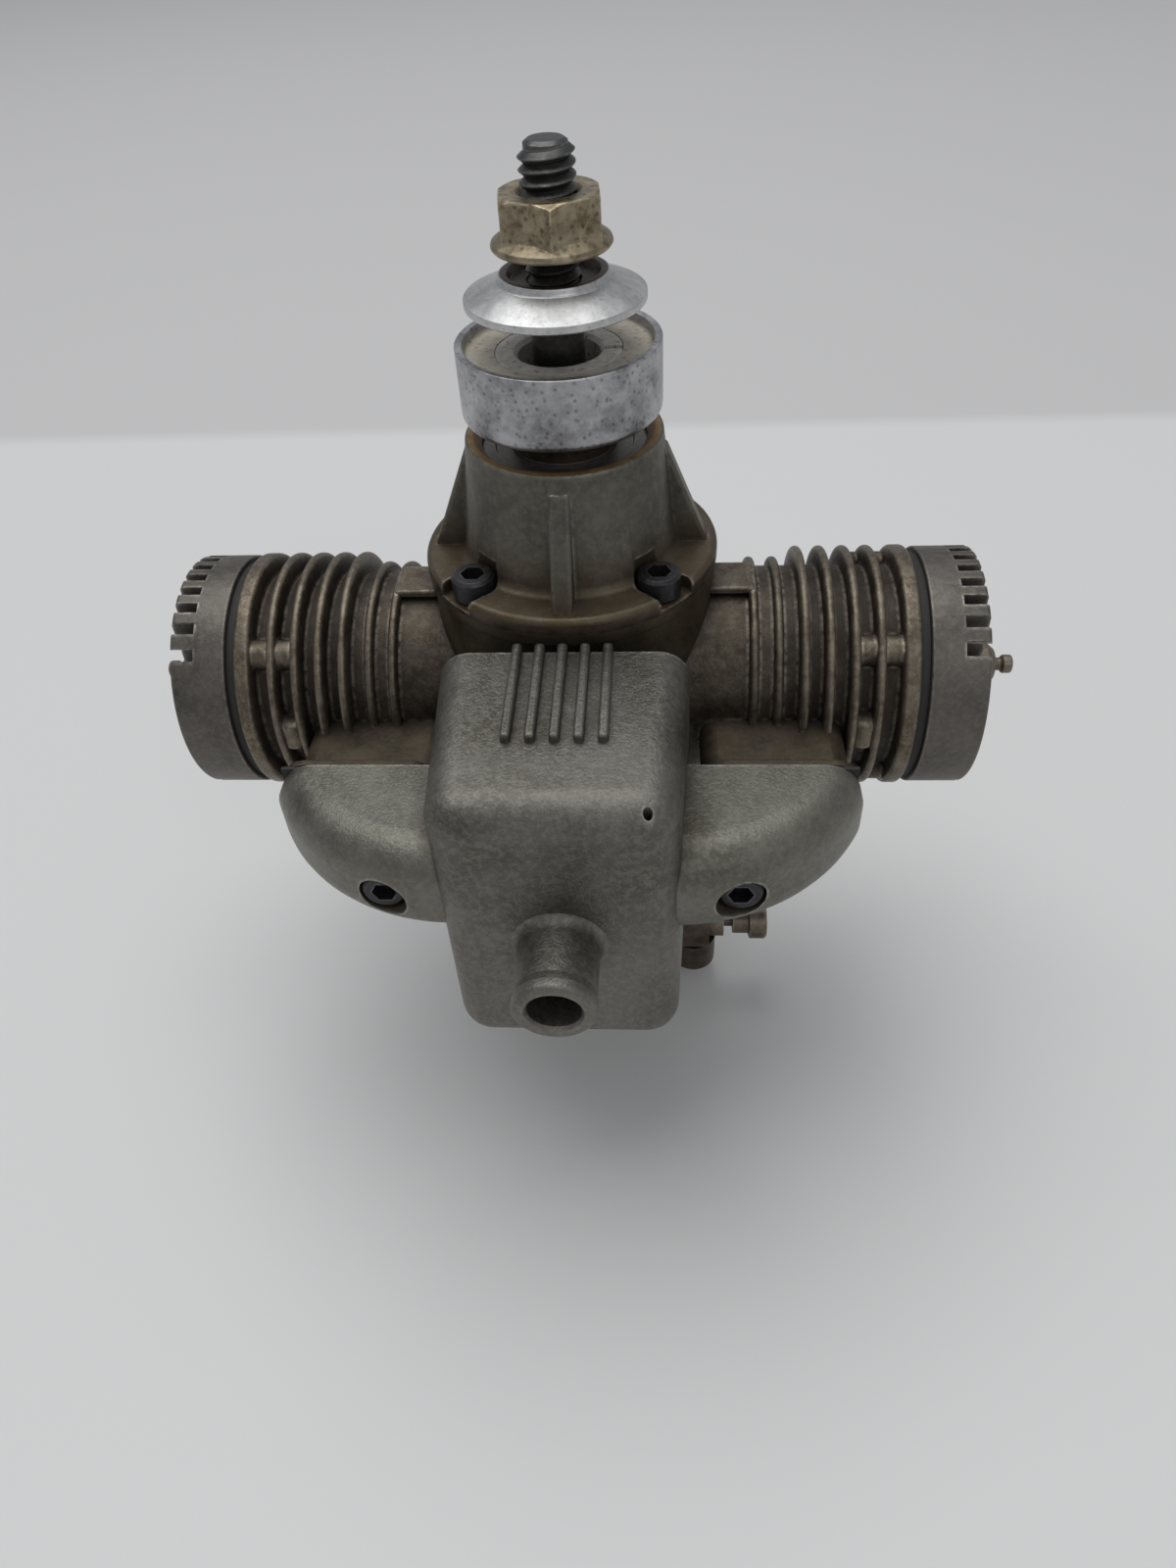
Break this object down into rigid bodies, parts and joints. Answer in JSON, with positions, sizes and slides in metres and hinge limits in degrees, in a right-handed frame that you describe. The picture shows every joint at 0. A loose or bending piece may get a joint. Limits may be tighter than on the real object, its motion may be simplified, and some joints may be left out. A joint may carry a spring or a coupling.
{
  "type": "model aircraft engine",
  "caption": "Opposed-twin two-stroke glow engine with finned cylinders, flanged nose, propeller stud, box silencer and rear carburettor.",
  "frame": {"origin": "on the crank axis, in the plane of the rear mounting face", "axes": "+Z along the crank axis towards the propeller, X along the cylinders, -Y towards the silencer"},
  "size_m": [0.1266, 0.078, 0.1322],
  "materials": {
    "cast_crankcase": "cast, oily, matt",
    "cast_housing": "cast, grey-brown, matt",
    "cast_silencer": "bead-blasted satin",
    "cast_manifold": "brushed satin casting",
    "cast_head": "dark grey casting",
    "polished_aluminium": "turned and polished",
    "black_screw": "black oxide",
    "black_stud": "black oxide, worn",
    "yellow_zinc": "aged yellow zinc",
    "ground_steel": "ground",
    "bearing_steel": "polished",
    "liner_steel": "honed",
    "piston_alloy": "machined",
    "gasket": "black fibre",
    "brass": "dulled",
    "plated_steel": "dull plating"
  },
  "bodies": {
    "engine": {"crankcase": "cast_crankcase", "front_housing": "cast_housing", "front_housing_screws": "black_screw", "rear_cover": "cast_crankcase", "rear_cover_screws": "black_screw", "main_bearing_outer_race": "bearing_steel", "nose_bearing_outer_race": "bearing_steel", "muffler_box": "cast_silencer", "muffler_plate": "cast_silencer", "carburettor_body": "cast_silencer", "needle_body": "brass", "fuel_inlet": "plated_steel", "right_liner": "liner_steel", "right_head_gasket": "gasket", "right_cylinder_head": "cast_head", "right_glow_plug": "plated_steel", "right_exhaust_manifold": "cast_manifold", "right_exhaust_gasket": "gasket", "right_manifold_screw": "black_screw", "right_head_screws": "black_screw", "left_liner": "liner_steel", "left_head_gasket": "gasket", "left_cylinder_head": "cast_head", "left_glow_plug": "plated_steel", "left_exhaust_manifold": "cast_manifold", "left_exhaust_gasket": "gasket", "left_manifold_screw": "black_screw", "left_head_screws": "black_screw"},
    "crank": {"crankshaft": "ground_steel", "crank_middle_web": "ground_steel", "crank_rear_web": "ground_steel", "rotary_valve": "ground_steel", "prop_driver": "polished_aluminium", "driver_collet": "plated_steel", "prop_stud": "black_stud", "prop_nut": "yellow_zinc", "main_bearing_inner_race": "bearing_steel", "nose_bearing_inner_race": "bearing_steel"},
    "main_cage": {"main_bearing_balls": "bearing_steel"},
    "nose_cage": {"nose_bearing_balls": "bearing_steel"},
    "washer": {"prop_washer": "polished_aluminium"},
    "right_piston_set": {"right_piston": "piston_alloy", "right_piston_ring": "liner_steel", "right_wrist_pin": "ground_steel", "right_conrod": "piston_alloy", "right_crankpin": "ground_steel"},
    "left_piston_set": {"left_piston": "piston_alloy", "left_piston_ring": "liner_steel", "left_wrist_pin": "ground_steel", "left_conrod": "piston_alloy", "left_crankpin": "ground_steel"},
    "throttle": {"throttle_barrel": "ground_steel", "throttle_arm": "plated_steel", "idle_needle": "brass"},
    "needle": {"main_needle": "plated_steel"}
  },
  "joints": [
    {"name": "crank_spin", "type": "hinge", "parent": "engine", "child": "crank", "pos_m": [0, 0, 0.044], "axis": [0, 0, 1], "continuous": true},
    {"name": "main_cage_spin", "type": "hinge", "parent": "engine", "child": "main_cage", "pos_m": [0, 0, 0.039], "axis": [0, 0, 1], "continuous": true},
    {"name": "nose_cage_spin", "type": "hinge", "parent": "engine", "child": "nose_cage", "pos_m": [0, 0, 0.0557], "axis": [0, 0, 1], "continuous": true},
    {"name": "washer_slide", "type": "slide", "parent": "crank", "child": "washer", "axis": [0, 0, 1], "range_m": [-0.0053, 0.0021]},
    {"name": "right_piston_slide", "type": "slide", "parent": "engine", "child": "right_piston_set", "axis": [1, 0, 0], "range_m": [-0.017, 0]},
    {"name": "left_piston_slide", "type": "slide", "parent": "engine", "child": "left_piston_set", "axis": [-1, 0, 0], "range_m": [-0.017, 0]},
    {"name": "throttle_turn", "type": "hinge", "parent": "engine", "child": "throttle", "pos_m": [0, -0.008, -0.0282], "axis": [1, 0, 0], "range_deg": [-35, 40]},
    {"name": "needle_turn", "type": "hinge", "parent": "engine", "child": "needle", "pos_m": [0.02, -0.008, -0.0282], "axis": [1, 0, 0], "range_deg": [-540, 540]}
  ],
  "couplings": [
    {"joint": "main_cage_spin", "follows": "crank_spin", "ratio": 0.4278},
    {"joint": "nose_cage_spin", "follows": "crank_spin", "ratio": 0.429}
  ]
}
